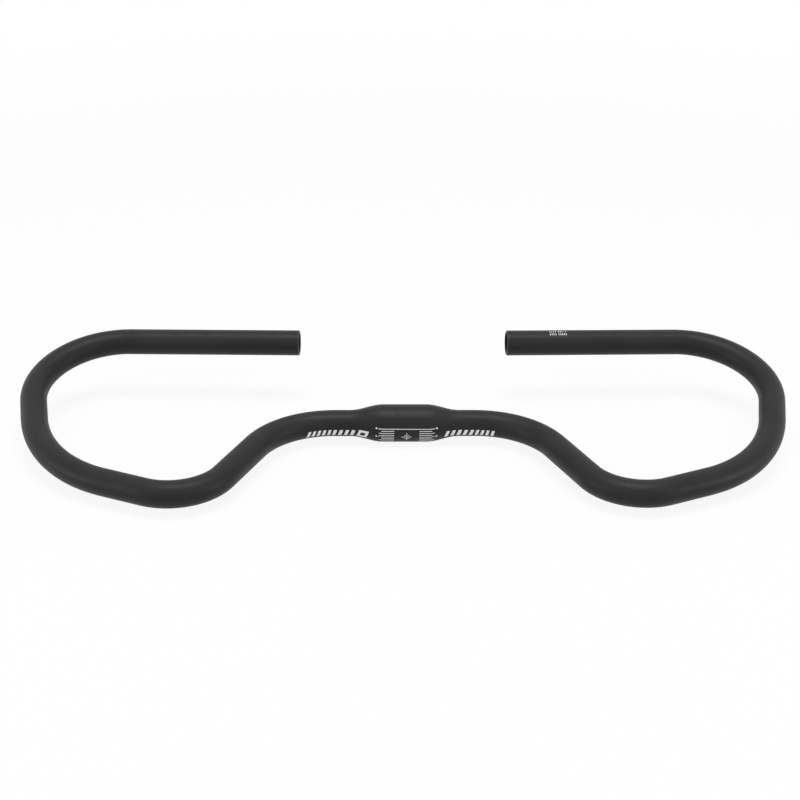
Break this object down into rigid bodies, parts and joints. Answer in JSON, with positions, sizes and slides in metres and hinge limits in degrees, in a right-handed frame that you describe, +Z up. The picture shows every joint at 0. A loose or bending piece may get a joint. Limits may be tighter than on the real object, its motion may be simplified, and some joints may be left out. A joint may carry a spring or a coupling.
{
  "type": "butterfly handlebar",
  "caption": "One-piece butterfly handlebar: an aluminium tube with a bulged stem clamp in the middle, bent on each side into an open loop whose straight grip end points inwards.",
  "frame": {"origin": "on the tube's axis in the middle of the clamp bulge, where the stem holds the bar", "axes": "+X along the clamp towards the right loop, +Y from the front curves towards the grip ends, +Z up; the clamp and both front curves lie level, and the loops rise towards the grips"},
  "size_m": [0.6504, 0.2317, 0.0629],
  "materials": {
    "black_anodised": "matte black, bead-blasted and anodised"
  },
  "bodies": {
    "root": {"handlebar": "black_anodised"}
  },
  "joints": []
}
